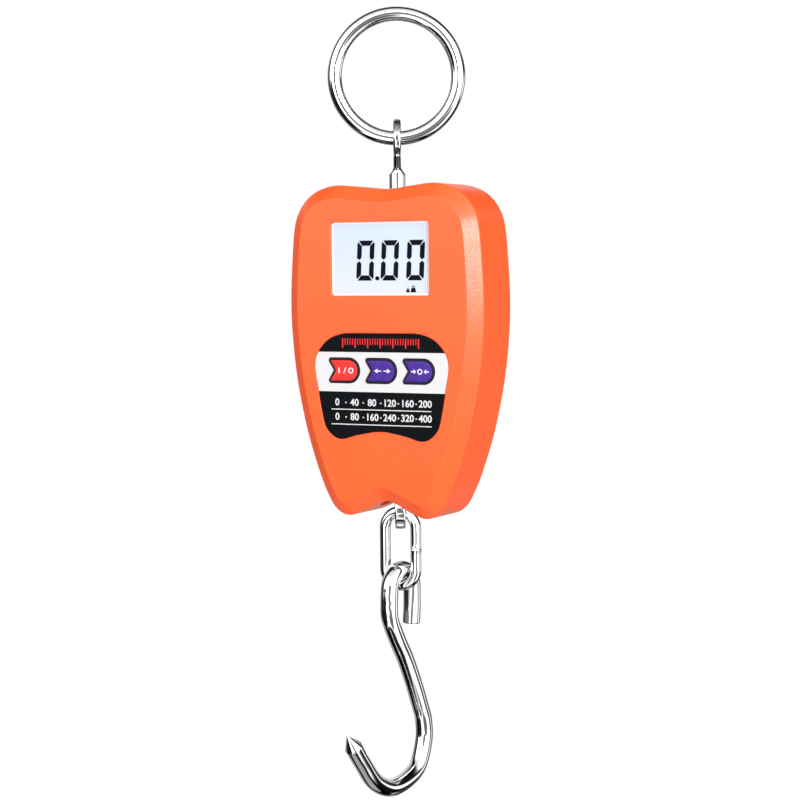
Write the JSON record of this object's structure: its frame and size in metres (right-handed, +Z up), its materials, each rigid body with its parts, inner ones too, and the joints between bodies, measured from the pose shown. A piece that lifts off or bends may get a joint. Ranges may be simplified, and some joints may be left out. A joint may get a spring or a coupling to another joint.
{
  "type": "digital hanging scale",
  "caption": "Handheld digital scale: orange tapered case with a display and keys, hung from a ring on a swivel eye, with a chain link and pointed S hook below.",
  "frame": {"origin": "the point inside the top of the hanging ring where a finger or peg bears, on the load line", "axes": "+Z up along the load line, the display faces -Y, +X to the right when looking at the display"},
  "size_m": [0.078, 0.05, 0.2844],
  "materials": {
    "case_plastic": "fine-grained orange moulding",
    "chrome": "bright plated steel",
    "steel": "zinc plated",
    "cell_metal": "milled",
    "brass": "turned",
    "rubber": "soft black",
    "label_black": "satin printed film",
    "key_red": "satin",
    "key_violet": "satin",
    "clear": "clear polished",
    "lcd": "pale glossy panel",
    "backlight": "white diffuser",
    "board": "green solder mask",
    "black_plastic": "moulded",
    "white_plastic": "moulded",
    "wire_red": "insulation",
    "wire_black": "insulation",
    "cable_grey": "insulation",
    "battery": "printed sleeve",
    "gauge": "foil on film"
  },
  "bodies": {
    "ring": {"hanging_ring": "chrome"},
    "top_eye": {"top_eye_bolt": "chrome", "top_lock_nut": "steel"},
    "case": {"amplifier_chip": "black_plastic", "backlight_panel": "backlight", "battery_1": "battery", "battery_2": "battery", "battery_lead_black": "wire_black", "battery_lead_red": "wire_red", "battery_tray": "black_plastic", "board_screw_1": "steel", "board_screw_2": "steel", "board_screw_3": "steel", "board_screw_4": "steel", "bottom_thrust_washer": "brass", "bottom_yoke": "steel", "bottom_yoke_bolt": "steel", "buzzer": "black_plastic", "case_screw_1": "steel", "case_screw_2": "steel", "case_screw_3": "steel", "case_screw_4": "steel", "case_seal": "rubber", "contact_plate_left": "steel", "contact_plate_right": "steel", "contact_spring_1": "steel", "contact_spring_2": "steel", "controller_chip": "black_plastic", "display_window": "clear", "front_shell": "case_plastic", "label_panel": "label_black", "lcd_frame": "black_plastic", "lcd_panel": "lcd", "load_cell": "cell_metal", "load_cell_cable": "cable_grey", "main_board": "board", "rear_shell": "case_plastic", "strain_gauge_1": "gauge", "strain_gauge_2": "gauge", "switch_power": "black_plastic", "switch_tare": "black_plastic", "switch_unit": "black_plastic", "top_bush": "black_plastic", "top_thrust_washer": "brass", "top_yoke": "steel", "top_yoke_bolt": "steel"},
    "power_key": {"key_power": "key_red", "plunger_power": "white_plastic"},
    "unit_key": {"key_unit": "key_violet", "plunger_unit": "white_plastic"},
    "tare_key": {"key_tare": "key_violet", "plunger_tare": "white_plastic"},
    "cover": {"battery_cover": "case_plastic"},
    "bottom_eye": {"bottom_eye_bolt": "chrome", "bottom_lock_nut": "steel"},
    "link": {"chain_link": "chrome"},
    "hook": {"s_hook": "chrome"}
  },
  "joints": [
    {"name": "ring_swing", "type": "hinge", "parent": "ring", "child": "top_eye", "pos_m": [0, 0, -0.0416], "axis": [0.8829, 0.4695, 0], "range_deg": [-90, 90]},
    {"name": "case_swivel", "type": "hinge", "parent": "top_eye", "child": "case", "pos_m": [0, 0, -0.07], "axis": [0, 0, 1], "continuous": true},
    {"name": "power_key_press", "type": "slide", "parent": "case", "child": "power_key", "axis": [0, 1, 0], "range_m": [0, 0.0004], "stiffness_N_per_m": 300},
    {"name": "unit_key_press", "type": "slide", "parent": "case", "child": "unit_key", "axis": [0, 1, 0], "range_m": [0, 0.0004], "stiffness_N_per_m": 300},
    {"name": "tare_key_press", "type": "slide", "parent": "case", "child": "tare_key", "axis": [0, 1, 0], "range_m": [0, 0.0004], "stiffness_N_per_m": 300},
    {"name": "cover_off", "type": "slide", "parent": "case", "child": "cover", "axis": [0, 1, 0], "range_m": [0, 0.03]},
    {"name": "hook_swivel", "type": "hinge", "parent": "case", "child": "bottom_eye", "pos_m": [0, 0, -0.1226], "axis": [0, 0, 1], "continuous": true},
    {"name": "link_swing", "type": "hinge", "parent": "bottom_eye", "child": "link", "pos_m": [0, 0, -0.181], "axis": [-0.1045, 0.9945, 0], "range_deg": [-55, 55]},
    {"name": "hook_swing", "type": "hinge", "parent": "link", "child": "hook", "pos_m": [0, 0, -0.203], "axis": [0.9903, -0.1392, 0], "range_deg": [-55, 55]}
  ]
}
